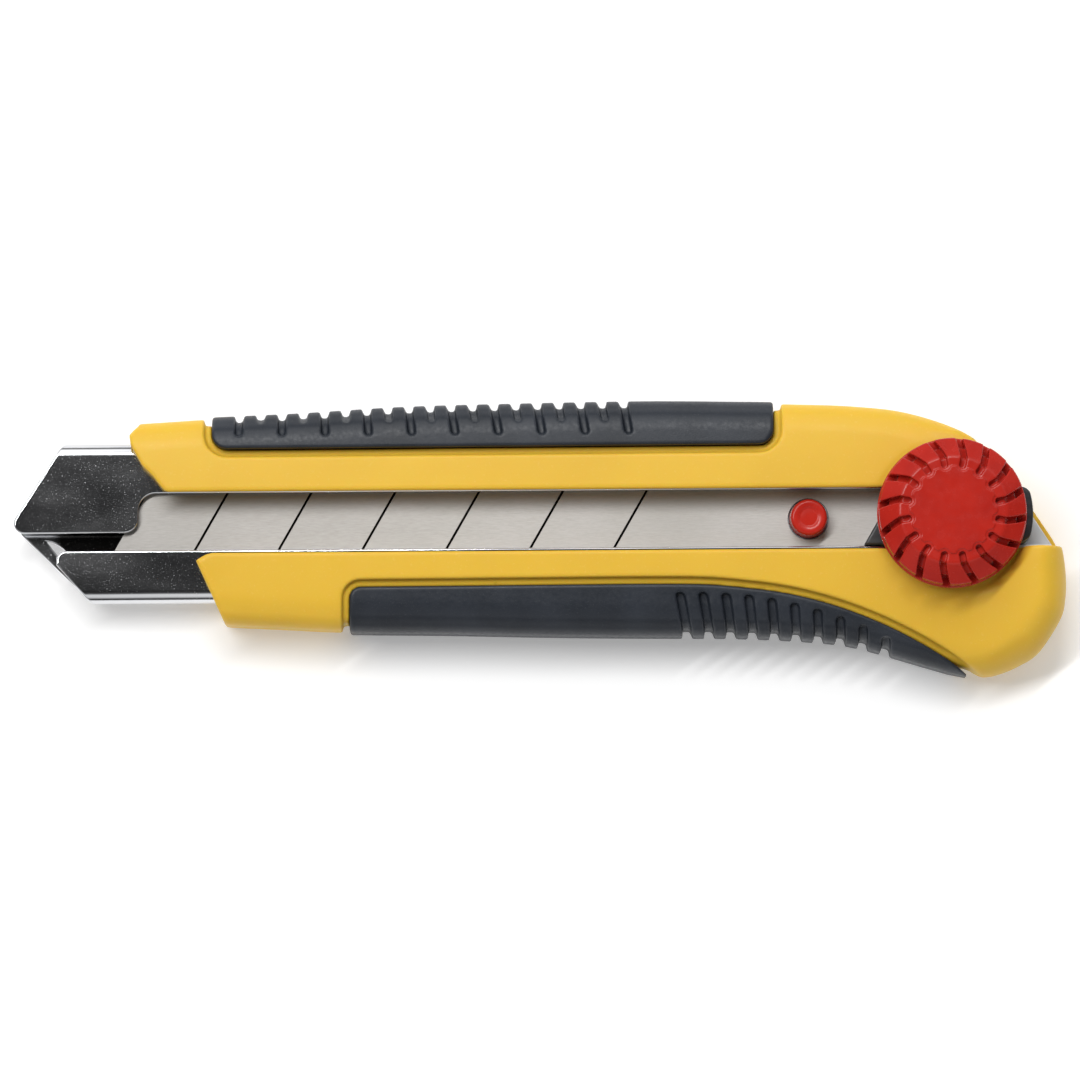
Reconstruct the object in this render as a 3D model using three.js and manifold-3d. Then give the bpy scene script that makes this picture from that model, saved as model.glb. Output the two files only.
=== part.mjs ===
// A snap-off utility knife with a screw-lock wheel, in millimetres, +Z up.
// It lies on its flat back. X runs from the nose (-X) to the tail (+X), Y from the blade's cutting edge (-Y)
// to its spine (+Y), and Z through the thickness, with the wheel on top. The origin is on the back face,
// under the middle of the knife's box.
import * as THREE from "three";
import { mergeVertices } from "three/addons/utils/BufferGeometryUtils.js";
import Module from "manifold-3d";

const wasm = await Module();
wasm.setup();

// ---- Driving dimensions ----
const GAP = 0.3; // left between pieces that touch
const LAYER_GAP = 0.2; // left between the layers of the slider and the lock
const FAR = 100; // past every end of the knife
const CENTRE_Y = 3.2; // the blade's centre line

// Blade
const BLADE_WIDTH = 25;
const BLADE_THICKNESS = 0.7;
const BLADE_TIP_X = -75.6; // the acute corner, at the cutting edge
const FIRST_SEGMENT = 13.4;
const SEGMENT = 14;
const SCORES = 6;
const BLADE_ROOT = 42; // from the last score to the rear edge
const SLANT = Math.tan(Math.PI / 6); // the scores lie 30 degrees off the width
const EDGE_BEVEL = 3.4; // width of the ground cutting edge
const EDGE_HALF = 0.03; // half the thickness left at the cutting edge
const SCORE_DEPTH = 0.2;
const SCORE_WIDTH = 0.5;

// Sheath, a channel folded from steel sheet
const SHEET = 0.7;
const SIDE_PLAY = 0.2; // between the blade's edges and the sheath's walls
const SHEATH_WIDTH = BLADE_WIDTH + 2 * (SHEET + SIDE_PLAY);
const SHEATH_DEPTH = 4.6;
const SHEATH_Z = 3.8; // its back face
const SHEATH_BEND = 1.6; // outer radius of its folds
const LIP_SLOT = 9.7; // between its front lips
const NOSE_X = -87.7;
const NOSE_CORNER = 2.8; // rounds the nose plate's inner corners

// Handle body
const BODY_THICKNESS = 13.4;
const BODY_ROUND = 3.5;
const SLOT_LOW = -2.3;
const SLOT_HIGH = 8.3;
const SWELL_HEIGHT = 18; // top of the palm swell at the tail
const SWELL_ROUND = 5;
const SWELL_START_X = 71;
const SWELL_FULL_X = 83;
const LEDGE_DEPTH = 0.8; // the sunk border round each grip
const LEDGE_WIDTH = 1.25;

// Grips
const GRIP_THICKNESS = 2.1;
const GRIP_PROUD = 0.3;
const NOTCH_DEPTH = 1.1;
const NOTCH_WIDTH = 1.4;

// Rivets that hold the sheath
const RIVETS_X = [-50, 30];
const RIVET_HEAD_RADIUS = 3.1;
const RIVET_HEAD_TOP = 1.1;
const RIVET_SHANK_RADIUS = 1.6;
const RIVET_TAIL_RADIUS = 2.2; // countersunk into the sheath's floor

// Slider
const SLIDER_HALF = BLADE_WIDTH / 2 - 0.3;
const SLIDER_REAR_X = 73;
const PLATE_THICKNESS = 1.4;
const PLATE_FRONT_X = 38;
const PIN_X = 44.8;
const PIN_RADIUS = 3.15;
const PIN_SHANK_RADIUS = 1.5;
const PIN_HEIGHT = 3.8; // above the blade
const PIN_ROUND = 0.9;
const FLANGE_RADIUS = 9.5; // the slider block's flange rides on the rails
const FLANGE_THICKNESS = 1;
const BLOCK_REAR_RADIUS = 13.6; // round its rear end
const TOWER_FRONT_X = 60.5;

// Lock, round the stud's axis
const STUD_X = 68.4;
const STUD_RADIUS = 3;
const STUD_FOOT_RADIUS = 2.2;
const STUD_COLLAR_RADIUS = 4.2;
const WASHER_RADIUS = 7.5;
const WASHER_THICKNESS = 0.8;
const WAVE_RADIUS = 6.2;
const WAVE_THICKNESS = 0.4;
const WAVE_RISE = 0.3;
const WHEEL_RADIUS = 12.43;
const WHEEL_TOP = 22.8;
const WHEEL_RIM_Z = 18.3; // top of its upright rim
const WHEEL_POCKET = 8.3; // radius of the hollow behind it
const WHEEL_GROOVES = 16;
const NUT_FLATS = 10;
const NUT_HEIGHT = 3.2;

// ---- Heights, from the back of the knife to the front ----
const sheathFloor = SHEATH_Z + SHEET;
const sheathFront = SHEATH_Z + SHEATH_DEPTH;
const lipBack = sheathFront - SHEET;
const plateBack = sheathFloor + LAYER_GAP;
const plateFront = plateBack + PLATE_THICKNESS;
const bladeBack = plateFront + LAYER_GAP;
const bladeFront = bladeBack + BLADE_THICKNESS;
const flangeBack = BODY_THICKNESS + LAYER_GAP;
const flangeFront = flangeBack + FLANGE_THICKNESS;
const washerBack = flangeFront + LAYER_GAP;
const waveBack = washerBack + WASHER_THICKNESS + 2 * LAYER_GAP;
const washerPocketTop = waveBack + WAVE_THICKNESS + WAVE_RISE + 0.5;
const nutBack = washerPocketTop + LAYER_GAP;
const nutFront = nutBack + NUT_HEIGHT;

// ---- Materials ----
const yellowPlastic = new THREE.MeshStandardMaterial({ color: 0xe8b420, roughness: 0.42 });
const blackRubber = new THREE.MeshStandardMaterial({ color: 0x2a2d31, roughness: 0.7 });
const blackPlastic = new THREE.MeshStandardMaterial({ color: 0x1c1d1f, roughness: 0.5 });
const redPlastic = new THREE.MeshStandardMaterial({ color: 0xb81e18, roughness: 0.35 });
const polishedSteel = new THREE.MeshStandardMaterial({ color: 0xb9bbbe, roughness: 0.18, metalness: 1 });
const bladeSteel = new THREE.MeshStandardMaterial({ color: 0xa8a29c, roughness: 0.4, metalness: 1 });
const zincSteel = new THREE.MeshStandardMaterial({ color: 0x9a9c9f, roughness: 0.35, metalness: 1 });
const brass = new THREE.MeshStandardMaterial({ color: 0xc0a050, roughness: 0.35, metalness: 1 });

// ---- Solids ----
function solid(geometry) {
  geometry.deleteAttribute("normal");
  geometry.deleteAttribute("uv");
  const merged = mergeVertices(geometry, 1e-4);
  return new wasm.Manifold(
    new wasm.Mesh({
      numProp: 3,
      vertProperties: merged.attributes.position.array,
      triVerts: new Uint32Array(merged.index.array),
    }),
  );
}

function named(name, manifold, material) {
  const made = manifold.getMesh();
  const geometry = new THREE.BufferGeometry()
    .setAttribute("position", new THREE.BufferAttribute(new Float32Array(made.vertProperties), 3))
    .setIndex(new THREE.BufferAttribute(made.triVerts, 1));
  geometry.computeVertexNormals();
  const mesh = new THREE.Mesh(geometry, material);
  mesh.name = name;
  return mesh;
}

const joined = (solids) => solids.reduce((all, next) => all.add(next));
const without = (whole, cuts) => cuts.reduce((left, cut) => left.subtract(cut), whole);

// A shape in plan, from height z0 up to z1.
function prism(shape, z0, z1, curveSegments = 4) {
  const geometry = new THREE.ExtrudeGeometry(shape, { depth: z1 - z0, bevelEnabled: false, curveSegments });
  return solid(geometry.translate(0, 0, z0));
}

// A shape drawn in the YZ plane, along X from x0 to x1.
function bar(shape, x0, x1, curveSegments = 3) {
  const geometry = new THREE.ExtrudeGeometry(shape, { depth: x1 - x0, bevelEnabled: false, curveSegments });
  // The shape's own x, y and depth become Y, Z and X.
  const toRow = new THREE.Matrix4().set(0, 0, 1, x0, 1, 0, 0, 0, 0, 1, 0, 0, 0, 0, 0, 1);
  return solid(geometry.applyMatrix4(toRow));
}

function polygon(points) {
  return new THREE.Shape(points.map(([x, y]) => new THREE.Vector2(x, y)));
}

function block(x0, x1, y0, y1, z0, z1) {
  const geometry = new THREE.BoxGeometry(x1 - x0, y1 - y0, z1 - z0);
  return solid(geometry.translate((x0 + x1) / 2, (y0 + y1) / 2, (z0 + z1) / 2));
}

// A turned solid on a vertical axis through the blade's centre line. Its profile is [radius, height] points
// from the axis, bottom first.
function turned(profile, x, segments = 24) {
  const points = profile.map(([r, z]) => new THREE.Vector2(r, z));
  const geometry = new THREE.LatheGeometry(points, segments);
  return solid(geometry.rotateX(Math.PI / 2).translate(x, CENTRE_Y, 0));
}

const disc = (radius, z0, z1, x, segments = 24) =>
  turned([[0, z0], [radius, z0], [radius, z1], [0, z1]], x, segments);

// A rectangle in the YZ plane with round corners.
function roundedRectangle(y0, y1, z0, z1, radius) {
  const shape = new THREE.Shape();
  shape.moveTo(y0 + radius, z0);
  shape.absarc(y1 - radius, z0 + radius, radius, -Math.PI / 2, 0);
  shape.absarc(y1 - radius, z1 - radius, radius, 0, Math.PI / 2);
  shape.absarc(y0 + radius, z1 - radius, radius, Math.PI / 2, Math.PI);
  shape.absarc(y0 + radius, z0 + radius, radius, Math.PI, 1.5 * Math.PI);
  return shape;
}

// ---- Outlines in plan ----
const bladeRearX = BLADE_TIP_X + FIRST_SEGMENT + (SCORES - 1) * SEGMENT + BLADE_ROOT;
const bladeLow = CENTRE_Y - BLADE_WIDTH / 2;
const bladeHigh = CENTRE_Y + BLADE_WIDTH / 2;
const slantedX = (x, y) => x + (y - bladeLow) * SLANT;

// The handle, drawn past its front, which a slanted cut then ends.
function handleOutline() {
  const shape = new THREE.Shape();
  const to = (points) => shape.splineThru(points.map(([x, y]) => new THREE.Vector2(x, y)));
  shape.moveTo(-FAR, 18);
  shape.lineTo(-63, 19.9);
  to([[-40, 21], [-12, 22.1], [17, 22.6], [41, 22.2], [56, 21.4], [63.5, 20.1], [72.4, 16.1]]);
  shape.lineTo(82, 5.3);
  shape.lineTo(86.8, -3);
  to([[87.7, -8.5], [86.8, -14], [83.3, -19.3], [78.5, -22.3], [74.2, -23.3]]);
  shape.lineTo(70.6, -23.2);
  shape.lineTo(60, -20.1);
  to([[53.3, -18.2], [45, -17], [33, -16.4], [5, -16], [-31, -15.2]]);
  shape.lineTo(-FAR, -11.4);
  return shape;
}

const handleShape = handleOutline();

// The handle's outline moved in by inset, from height z0 to z1, with its edges rounded.
function skin(inset, z0, z1, round) {
  const geometry = new THREE.ExtrudeGeometry(handleShape, {
    depth: z1 - z0 - 2 * round,
    bevelThickness: round,
    bevelSize: round,
    bevelOffset: -(round + inset),
    bevelSegments: 3,
    curveSegments: 3,
  });
  return solid(geometry.translate(0, 0, z0 + round));
}

// What is left of the body's block once a layer of the given thickness is peeled off all round.
const core = (thickness) =>
  skin(thickness, thickness, BODY_THICKNESS - thickness, BODY_ROUND - 0.6 * thickness);

// A grip is a band with round inner corners that runs off the handle's top or bottom edge. The outline is
// grown by the given amount.
function upperGripOutline(grown) {
  const left = -54.5 - grown;
  const right = 39 + grown;
  const low = 15.05 - grown;
  const corner = 2.5 + grown;
  const shape = new THREE.Shape();
  shape.moveTo(left, FAR);
  shape.lineTo(left, low + corner);
  shape.absarc(left + corner, low + corner, corner, Math.PI, 1.5 * Math.PI);
  shape.absarc(right - corner, low + corner, corner, -Math.PI / 2, 0);
  shape.lineTo(right, FAR);
  return shape;
}

function lowerGripOutline(grown) {
  const left = -32 - grown;
  const high = -8.1 + grown;
  const corner = 2 + grown;
  const sweep = [[34, -8.8], [47, -11.2], [60, -16.5], [71, -23.4], [80, -30.6]];
  // The sweep's own normal leans more as it falls away towards the tail.
  const aside = (i) => grown * 0.16 * i;
  const above = (i) => grown * (1 - 0.05 * i);
  const moved = sweep.map(([x, y], i) => new THREE.Vector2(x + aside(i), y + above(i)));
  const shape = new THREE.Shape();
  shape.moveTo(left, -FAR);
  shape.lineTo(left, high - corner);
  shape.absarc(left + corner, high - corner, corner, Math.PI, Math.PI / 2, true);
  shape.lineTo(20, high);
  shape.splineThru(moved);
  shape.lineTo(80, -FAR);
  return shape;
}

// ---- Handle ----
// The palm swell rises towards the tail, below the slot.
function palmSwell() {
  const foot = BODY_THICKNESS - 0.6;
  const side = polygon([
    [SWELL_START_X - 4, 0],
    [FAR, 0],
    [FAR, SWELL_HEIGHT],
    [SWELL_FULL_X, SWELL_HEIGHT],
    [SWELL_START_X, foot],
  ]);
  // The side view is drawn in XZ and runs along Y, up to the slot's lower edge.
  const geometry = new THREE.ExtrudeGeometry(side, { depth: FAR, bevelEnabled: false });
  const ramp = solid(geometry.rotateX(Math.PI / 2).translate(0, SLOT_LOW, 0));
  return skin(0, 0.4, SWELL_HEIGHT, SWELL_ROUND).intersect(ramp);
}

// A rivet's hole in the handle: a wide counterbore from the back, and then a clear hole.
function rivetBore(x) {
  const head = RIVET_HEAD_RADIUS + GAP;
  const shank = RIVET_SHANK_RADIUS + GAP;
  const step = RIVET_HEAD_TOP + GAP;
  return turned([[0, -1], [head, -1], [head, step], [shank, step], [shank, SHEATH_Z], [0, SHEATH_Z]], x, 20);
}

function handleBody() {
  const half = SHEATH_WIDTH / 2 + GAP;
  const channel = block(-FAR, FAR, CENTRE_Y - half, CENTRE_Y + half, SHEATH_Z - GAP, sheathFront + GAP);
  const slot = block(-FAR, FAR, SLOT_LOW, SLOT_HIGH, sheathFront, FAR);
  const wheelPocket = disc(WHEEL_RADIUS + 0.9, BODY_THICKNESS, FAR, STUD_X, 48);
  // The upper rail reaches further forward than the lower one.
  const upperFront = [[-64.5, 40], [-66.6, 19.7], [-68.2, 17.6], [-66.1, 12.4], [-62.4, 8.1]];
  const lowerFront = [[-55.1, -2.2], [-57.2, -3.5], [-50, -19]];
  const front = polygon([[-FAR, 40], ...upperFront, ...lowerFront, [-FAR, -40]]);
  const pocket = (outline, grown, depth) => prism(outline(grown), -1, FAR).subtract(core(depth));
  return without(skin(0, 0, BODY_THICKNESS, BODY_ROUND).add(palmSwell()), [
    wheelPocket,
    channel,
    slot,
    prism(front, -1, FAR),
    pocket(upperGripOutline, LEDGE_WIDTH, LEDGE_DEPTH),
    pocket(lowerGripOutline, LEDGE_WIDTH, LEDGE_DEPTH),
    pocket(upperGripOutline, GAP, GRIP_THICKNESS + GAP),
    pocket(lowerGripOutline, GAP, GRIP_THICKNESS + GAP),
    ...RIVETS_X.map(rivetBore),
  ]);
}

// A grip fills its outline between the handle's skin, a little proud of it, and the core under it.
function gripShell(outline) {
  const outer = skin(-GRIP_PROUD, 0.1, BODY_THICKNESS + 0.2, BODY_ROUND);
  return outer.intersect(prism(outline(0), -1, FAR)).subtract(core(GRIP_THICKNESS));
}

// A grip with notches as deep as NOTCH_DEPTH cut into it, from a list of upright cutters.
function notched(grip, cutters) {
  const top = BODY_THICKNESS + 0.2 - NOTCH_DEPTH;
  const floor = skin(NOTCH_DEPTH - GRIP_PROUD, NOTCH_DEPTH, top, BODY_ROUND - 0.6);
  return grip.subtract(joined(cutters).subtract(floor));
}

// Ten long notches with a short one between each two.
function upperGrip() {
  const pitch = 7.22;
  const first = -50;
  const foot = [17.6, 19.5];
  const half = NOTCH_WIDTH / 2;
  const cutters = [];
  for (let i = 0; i < 19; i++) {
    const x = first + (i * pitch) / 2;
    cutters.push(block(x - half, x + half, foot[i % 2], FAR, -1, FAR));
  }
  return notched(gripShell(upperGripOutline), cutters);
}

// Ten slanted notches, shorter towards the tail.
function lowerGrip() {
  const pitch = 3.78;
  const first = 23.6;
  const run = 30;
  const half = NOTCH_WIDTH / 2;
  const cutters = [];
  for (let i = 0; i < 10; i++) {
    const x = first + i * pitch;
    const top = -9.1 - 0.075 * i * i;
    const foot = x + 0.11 * run;
    const low = top - run;
    const cutter = polygon([[x - half, top], [x + half, top], [foot + half, low], [foot - half, low]]);
    cutters.push(prism(cutter, -1, FAR));
  }
  return notched(gripShell(lowerGripOutline), cutters);
}

// A flat rivet from the back of the handle into the sheath's countersunk floor.
function sheathRivet(x) {
  const back = 0.2;
  const sink = SHEATH_Z + 0.1;
  const top = sheathFloor - 0.1;
  const head = [[0, back], [RIVET_HEAD_RADIUS, back], [RIVET_HEAD_RADIUS, RIVET_HEAD_TOP]];
  const shank = [[RIVET_SHANK_RADIUS, RIVET_HEAD_TOP], [RIVET_SHANK_RADIUS, sink]];
  return turned([...head, ...shank, [RIVET_TAIL_RADIUS, top], [0, top]], x, 20);
}

// ---- Sheath ----
// What is cut from the front side: it stays open between the wide nose plate with the upper lip, and the
// lower lip.
function frontOpening(low) {
  const lipLow = CENTRE_Y - LIP_SLOT / 2;
  const lipHigh = CENTRE_Y + LIP_SLOT / 2;
  const plateLow = 1.4;
  const plateRearX = -67;
  const shape = new THREE.Shape();
  shape.moveTo(-FAR, low - 1);
  shape.lineTo(-FAR, plateLow);
  shape.absarc(plateRearX - NOSE_CORNER, plateLow + NOSE_CORNER, NOSE_CORNER, -Math.PI / 2, 0);
  shape.absarc(plateRearX + NOSE_CORNER, lipHigh - NOSE_CORNER, NOSE_CORNER, Math.PI, Math.PI / 2, true);
  shape.lineTo(FAR, lipHigh);
  shape.lineTo(FAR, lipLow);
  shape.lineTo(-79, lipLow);
  shape.lineTo(-80.6, lipLow - 2);
  shape.lineTo(-74.4, low - 1);
  return prism(shape, lipBack - 0.4, FAR);
}

// Everything in front of the pointed nose.
function noseCut() {
  const shape = new THREE.Shape();
  shape.moveTo(-FAR, 30);
  shape.lineTo(-70.7, 30);
  shape.lineTo(-87, 5);
  shape.quadraticCurveTo(NOSE_X - 0.8, 3.6, -86.2, 1.3);
  shape.lineTo(-70.4, -14.8);
  shape.lineTo(-FAR, -14.8);
  return prism(shape, -1, FAR);
}

// A slanted window beside the nose's lower edge, half of it behind the lower lip.
function noseWindow() {
  const shape = new THREE.Shape();
  shape.moveTo(-82.1, 0.4);
  shape.quadraticCurveTo(-79, 0.4, -77.6, -4.1);
  return prism(shape, -1, sheathFloor + 0.5);
}

// A rivet's countersunk hole in the sheath's floor.
function countersink(x) {
  const shank = RIVET_SHANK_RADIUS + GAP;
  const rim = RIVET_TAIL_RADIUS + GAP;
  return turned([[0, 3], [shank, 3], [shank, SHEATH_Z], [rim, sheathFloor], [rim, 5], [0, 5]], x, 20);
}

function bladeSheath() {
  const low = CENTRE_Y - SHEATH_WIDTH / 2;
  const high = CENTRE_Y + SHEATH_WIDTH / 2;
  const outside = roundedRectangle(low, high, SHEATH_Z, sheathFront, SHEATH_BEND);
  const inside = roundedRectangle(low + SHEET, high - SHEET, sheathFloor, lipBack, SHEATH_BEND - SHEET);
  const tube = bar(outside, -FAR, FAR).subtract(bar(inside, -FAR - 1, FAR + 1));
  // The rear end stops short of the handle's outline.
  const rear = polygon([[69.8, 18], [FAR, 18], [FAR, -20], [85.9, -20], [85.9, -4], [80.6, 4.5]]);
  return without(tube, [
    frontOpening(low),
    noseCut(),
    noseWindow(),
    prism(rear, -1, FAR),
    ...RIVETS_X.map(countersink),
  ]);
}

// ---- Blade ----
// The edge is ground from both faces. way is 1 for the front face and -1 for the back.
function groundWedge(face, way) {
  const tip = (bladeBack + bladeFront) / 2 + EDGE_HALF * way;
  const shoulder = bladeLow + EDGE_BEVEL;
  const wedge = [[bladeLow - 1, tip], [shoulder, face], [shoulder, face + way], [bladeLow - 1, face + way]];
  return bar(polygon(wedge), -FAR, FAR);
}

// A shallow slanted groove across the front face, where a segment snaps off.
function score(x) {
  const half = SCORE_WIDTH / 2;
  const [low, high] = [bladeLow - 2, bladeHigh + 2];
  const run = [[x - half, low], [x + half, low], [x + half, high], [x - half, high]];
  return prism(polygon(run.map(([px, py]) => [slantedX(px, py), py])), bladeFront - SCORE_DEPTH, FAR);
}

function snapOffBlade() {
  const outline = polygon([
    [BLADE_TIP_X, bladeLow],
    [bladeRearX, bladeLow],
    [slantedX(bladeRearX, bladeHigh), bladeHigh],
    [slantedX(BLADE_TIP_X, bladeHigh), bladeHigh],
  ]);
  const scores = [];
  for (let i = 0; i < SCORES; i++) scores.push(score(BLADE_TIP_X + FIRST_SEGMENT + i * SEGMENT));
  return without(prism(outline, bladeBack, bladeFront), [
    disc(PIN_RADIUS + 0.25, 0, FAR, PIN_X),
    groundWedge(bladeFront, 1),
    groundWedge(bladeBack, -1),
    ...scores,
  ]);
}

// ---- Slider ----
function clampPlate() {
  const low = CENTRE_Y - SLIDER_HALF;
  const high = CENTRE_Y + SLIDER_HALF;
  return without(block(PLATE_FRONT_X, SLIDER_REAR_X, low, high, plateBack, plateFront), [
    disc(PIN_SHANK_RADIUS + GAP, 0, FAR, PIN_X, 20),
    disc(STUD_FOOT_RADIUS + GAP, 0, FAR, STUD_X, 20),
  ]);
}

// A headed pin with a rounded top, which holds the blade by its hole.
function bladePin() {
  const foot = plateBack + 0.1;
  const top = bladeFront + PIN_HEIGHT;
  const shank = [[0, foot], [PIN_SHANK_RADIUS, foot], [PIN_SHANK_RADIUS, bladeBack]];
  const head = [[PIN_RADIUS, bladeBack], [PIN_RADIUS, top - PIN_ROUND]];
  for (let i = 1; i <= 3; i++) {
    const turn = (i / 3) * (Math.PI / 2);
    head.push([PIN_RADIUS - PIN_ROUND * (1 - Math.cos(turn)), top - PIN_ROUND * (1 - Math.sin(turn))]);
  }
  return turned([...shank, ...head, [0, top]], PIN_X);
}

function lockStud() {
  const base = plateBack + 0.1;
  const top = nutFront - 0.4;
  const chamfer = 0.5;
  const foot = [[0, base], [STUD_FOOT_RADIUS, base], [STUD_FOOT_RADIUS, bladeBack]];
  const collar = [[STUD_COLLAR_RADIUS, bladeBack], [STUD_COLLAR_RADIUS, bladeFront]];
  const shaft = [[STUD_RADIUS, bladeFront], [STUD_RADIUS, top - chamfer], [STUD_RADIUS - chamfer, top]];
  return turned([...foot, ...collar, ...shaft, [0, top]], STUD_X);
}

// Wings behind the blade, a neck up through the slot, and a round flange that rides on the rails.
function sliderBlock() {
  const neckHalf = LIP_SLOT / 2 - GAP;
  const neckLow = CENTRE_Y - neckHalf;
  const neckHigh = CENTRE_Y + neckHalf;
  const wingLow = CENTRE_Y - SLIDER_HALF;
  const wingHigh = CENTRE_Y + SLIDER_HALF;
  const face = (y) => slantedX(bladeRearX + 0.4, y);
  const wings = polygon([
    [face(wingLow), wingLow],
    [SLIDER_REAR_X, wingLow],
    [SLIDER_REAR_X, wingHigh],
    [face(wingHigh), wingHigh],
  ]);
  const turn = Math.asin(neckHalf / BLOCK_REAR_RADIUS);
  const neckFrom = (front) => {
    const shape = new THREE.Shape();
    shape.moveTo(front(neckHigh), neckHigh);
    shape.lineTo(front(neckLow), neckLow);
    shape.absarc(STUD_X, CENTRE_Y, BLOCK_REAR_RADIUS, -turn, turn);
    return shape;
  };
  const collar = STUD_COLLAR_RADIUS + GAP;
  const shaft = STUD_RADIUS + GAP;
  const step = bladeFront + GAP;
  return joined([
    prism(wings, bladeBack, bladeFront + LAYER_GAP),
    prism(neckFrom(face), bladeBack, sheathFront + 0.4, 3),
    prism(neckFrom(() => TOWER_FRONT_X), bladeBack, flangeFront, 3),
    disc(FLANGE_RADIUS, flangeBack, flangeFront, STUD_X, 40),
  ]).subtract(turned([[0, 5], [collar, 5], [collar, step], [shaft, step], [shaft, FAR], [0, FAR]], STUD_X));
}

// A flat ring round the stud, from height z0 to z1.
function ring(inner, outer, z0, z1, segments) {
  return turned([[inner, z0], [outer, z0], [outer, z1], [inner, z1], [inner, z0]], STUD_X, segments);
}

const clampWasher = () =>
  ring(STUD_RADIUS + GAP, WASHER_RADIUS, washerBack, washerBack + WASHER_THICKNESS, 32);

// A thin ring bent into three waves.
function waveWasher() {
  const hole = STUD_RADIUS + 0.4;
  const back = waveBack + 0.1;
  return ring(hole, WAVE_RADIUS, back, back + WAVE_THICKNESS, 36).warp((point) => {
    const turn = Math.atan2(point[1] - CENTRE_Y, point[0] - STUD_X);
    point[2] += (WAVE_RISE * (1 + Math.cos(3 * turn))) / 2;
  });
}

// ---- Wheel ----
function hexagon(flats) {
  const radius = flats / Math.sqrt(3);
  const points = [];
  for (let i = 0; i < 6; i++) {
    const turn = (i * Math.PI) / 3;
    points.push([STUD_X + radius * Math.cos(turn), CENTRE_Y + radius * Math.sin(turn)]);
  }
  return polygon(points);
}

// A trench from one point to another, seen from above, whose floor height changes along it.
function trench(from, to, width, floorFrom, floorTo) {
  const along = to.clone().sub(from).normalize();
  const side = new THREE.Vector2(-along.y, along.x).multiplyScalar(width / 2);
  const beside = (point, way) => point.clone().addScaledVector(side, way);
  const corners = [beside(from, -1), beside(to, -1), beside(to, 1), beside(from, 1)];
  const geometry = new THREE.ExtrudeGeometry(new THREE.Shape(corners), { depth: 1, bevelEnabled: false });
  const position = geometry.attributes.position;
  const length = to.distanceTo(from);
  for (let i = 0; i < position.count; i++) {
    const share = new THREE.Vector2(position.getX(i), position.getY(i)).sub(from).dot(along) / length;
    const floor = floorFrom + (floorTo - floorFrom) * share;
    position.setZ(i, position.getZ(i) < 0.5 ? floor : WHEEL_TOP + 1);
  }
  return solid(geometry.translate(STUD_X, CENTRE_Y, 0));
}

// One groove: radial on the flat face, then swung round as it runs down the cone to the rim.
function wheelGroove(index) {
  const first = 0.126; // turn of the first groove, in radians
  const swing = 0.14;
  const turn = first + (index * 2 * Math.PI) / WHEEL_GROOVES;
  const at = (r, angle) => new THREE.Vector2(r * Math.cos(angle), r * Math.sin(angle));
  const inner = trench(at(7.5, turn), at(9.3, turn), 1.3, WHEEL_TOP - 1.2, WHEEL_TOP - 1.6);
  const outer = trench(at(8.9, turn), at(13.2, turn + swing), 1.2, WHEEL_TOP - 1.4, WHEEL_RIM_Z - 0.7);
  return inner.add(outer);
}

// A closed cap with a conical grip, hollow behind for the washers and the nut.
function lockWheel() {
  const bottom = flangeFront + GAP;
  const chamfer = 0.8;
  const faceRadius = 9.1;
  const body = turned(
    [
      [0, washerPocketTop],
      [WHEEL_POCKET, washerPocketTop],
      [WHEEL_POCKET, bottom],
      [WHEEL_RADIUS - chamfer, bottom],
      [WHEEL_RADIUS, bottom + chamfer],
      [WHEEL_RADIUS, WHEEL_RIM_Z],
      [WHEEL_RADIUS - 0.5, WHEEL_RIM_Z + 0.6],
      [faceRadius + GAP, WHEEL_TOP - 0.3],
      [faceRadius - GAP, WHEEL_TOP],
      [0, WHEEL_TOP],
    ],
    STUD_X,
    48,
  );
  const nutPocket = prism(hexagon(NUT_FLATS + 2 * GAP), washerPocketTop - 1, nutFront + GAP);
  const grooves = [];
  for (let i = 0; i < WHEEL_GROOVES; i++) grooves.push(wheelGroove(i));
  return without(body, [nutPocket, joined(grooves)]);
}

const wheelNut = () =>
  prism(hexagon(NUT_FLATS), nutBack, nutFront).subtract(disc(STUD_RADIUS + 0.1, 0, FAR, STUD_X));

// ---- The knife ----
const handle = new THREE.Group();
handle.add(named("handle_body", handleBody(), yellowPlastic));
handle.add(named("upper_grip", upperGrip(), blackRubber));
handle.add(named("lower_grip", lowerGrip(), blackRubber));
handle.add(named("blade_sheath", bladeSheath(), polishedSteel));
handle.add(named("sheath_rivet_front", sheathRivet(RIVETS_X[0]), zincSteel));
handle.add(named("sheath_rivet_rear", sheathRivet(RIVETS_X[1]), zincSteel));

const slider = new THREE.Group();
slider.add(named("snap_off_blade", snapOffBlade(), bladeSteel));
slider.add(named("clamp_plate", clampPlate(), zincSteel));
slider.add(named("blade_pin", bladePin(), redPlastic));
slider.add(named("lock_stud", lockStud(), zincSteel));
slider.add(named("slider_block", sliderBlock(), blackPlastic));
slider.add(named("clamp_washer", clampWasher(), zincSteel));
slider.add(named("wave_washer", waveWasher(), bladeSteel));

const wheel = new THREE.Group();
wheel.add(named("lock_wheel", lockWheel(), redPlastic));
wheel.add(named("wheel_nut", wheelNut(), brass));

const pieces = new THREE.Group();
pieces.add(handle, slider, wheel);

// The outlines above are drawn about the knife's lengthwise middle, and the box's middle is a little off it.
const box = new THREE.Box3().setFromObject(pieces);
pieces.position.set(-(box.min.x + box.max.x) / 2, -(box.min.y + box.max.y) / 2, -box.min.z);

const knife = new THREE.Group();
knife.add(pieces);

export default knife;
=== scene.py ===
"""A snap-off utility knife with a screw-lock wheel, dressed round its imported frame.

Shapes are worked out in millimetres, in the drawing's own axes: +X to the tail, +Y to the blade's spine,
+Z to the wheel, with z = 0 on the knife's back. ORIGIN places that drawing in the frame.
"""
import math

import bmesh
import bpy
import numpy as np
from mathutils import Matrix, Vector


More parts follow.
